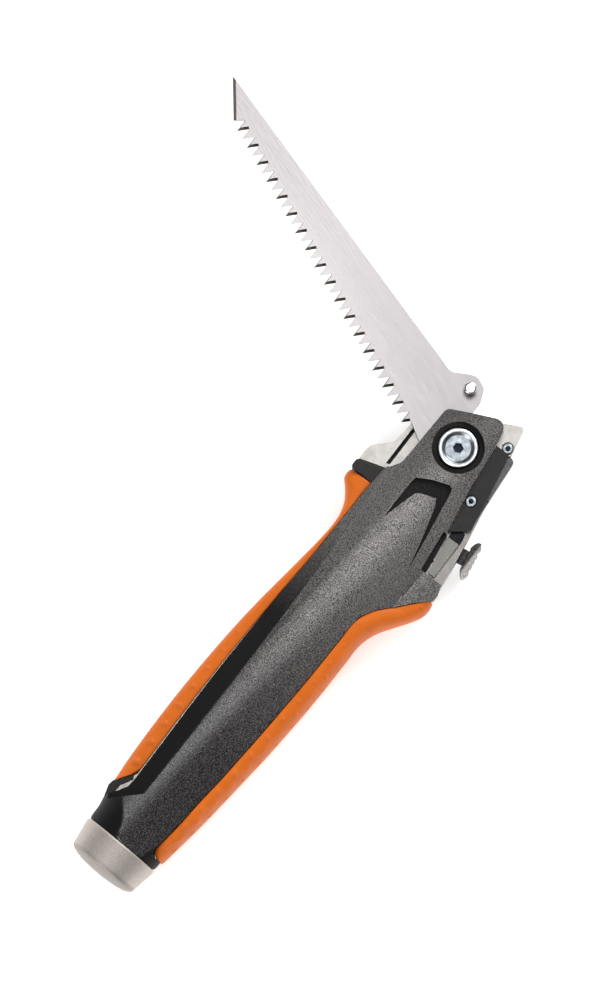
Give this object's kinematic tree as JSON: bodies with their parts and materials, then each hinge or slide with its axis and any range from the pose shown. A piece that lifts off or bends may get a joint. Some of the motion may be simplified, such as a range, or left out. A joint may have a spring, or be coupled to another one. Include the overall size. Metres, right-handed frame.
{
  "type": "drywall saw",
  "caption": "Folding jab saw for plasterboard with a long toothed blade, thumb stud and side lock, and a retractable utility knife in a soft grip handle with a metal end cap.",
  "frame": {"origin": "on the resting plane, straight below the saw's pivot axis", "axes": "+X along the handle toward the nose, +Y toward the belly side the saw folds out of, +Z toward the side that carries the saw; lies on its far side"},
  "size_m": [0.2362, 0.1625, 0.0276],
  "materials": {
    "frame_metal": "satin die cast",
    "shell_nylon": "fine grained",
    "cover_nylon": "fine grained",
    "plate_nylon": "smooth",
    "liner_nylon": "fine grained",
    "grip_rubber": "soft touch",
    "cap_metal": "bead blasted",
    "screw_steel": "bright zinc",
    "bush_brass": "turned",
    "washer_nylon": "smooth",
    "saw_steel": "brushed across",
    "stud_steel": "polished",
    "lever_steel": "ground",
    "spring_steel": "drawn wire",
    "release_plastic": "glossy",
    "slider_metal": "dark plated",
    "carrier_plastic": "smooth",
    "knife_steel": "ground edge"
  },
  "bodies": {
    "handle": {"frame": "frame_metal", "far_shell": "shell_nylon", "near_cover": "cover_nylon", "side_plate": "plate_nylon", "belly_grip": "grip_rubber", "back_grip": "grip_rubber", "end_cap": "cap_metal", "guard_liner": "liner_nylon", "pivot_screw": "screw_steel", "pivot_bush": "bush_brass", "near_washer": "washer_nylon", "far_washer": "washer_nylon", "lock_screw": "screw_steel", "lock_spring": "spring_steel", "nose_screw": "screw_steel", "release_pin": "lever_steel", "release_spring": "spring_steel", "handle_screw_front": "screw_steel", "handle_screw_middle": "screw_steel", "handle_screw_rear": "screw_steel"},
    "saw": {"saw_blade": "saw_steel", "thumb_stud": "stud_steel"},
    "lock": {"lock_lever": "lever_steel"},
    "release": {"release_lever": "release_plastic"},
    "knife": {"blade_carrier": "carrier_plastic", "thumb_slider": "slider_metal", "utility_blade": "knife_steel"}
  },
  "joints": [
    {"name": "saw_fold", "type": "hinge", "parent": "handle", "child": "saw", "pos_m": [-0.0011, -0.0006, 0.0153], "axis": [0, 0, 1], "range_deg": [-64, 106.3]},
    {"name": "lock_press", "type": "hinge", "parent": "handle", "child": "lock", "pos_m": [-0.0124, -0.0146, 0.0153], "axis": [0, 0, 1], "range_deg": [-4, 0], "stiffness_Nm_per_rad": 0.6, "springref_deg": 5.73, "deforming": ["lock_spring"]},
    {"name": "release_press", "type": "hinge", "parent": "handle", "child": "release", "pos_m": [-0.0152, -0.018, 0.012], "axis": [0, 0, 1], "range_deg": [0, 2.5], "stiffness_Nm_per_rad": 0.6, "springref_deg": -5.73, "deforming": ["release_spring"]},
    {"name": "knife_slide", "type": "slide", "parent": "handle", "child": "knife", "axis": [0.9871, 0.1599, 0], "range_m": [0, 0.028]}
  ]
}
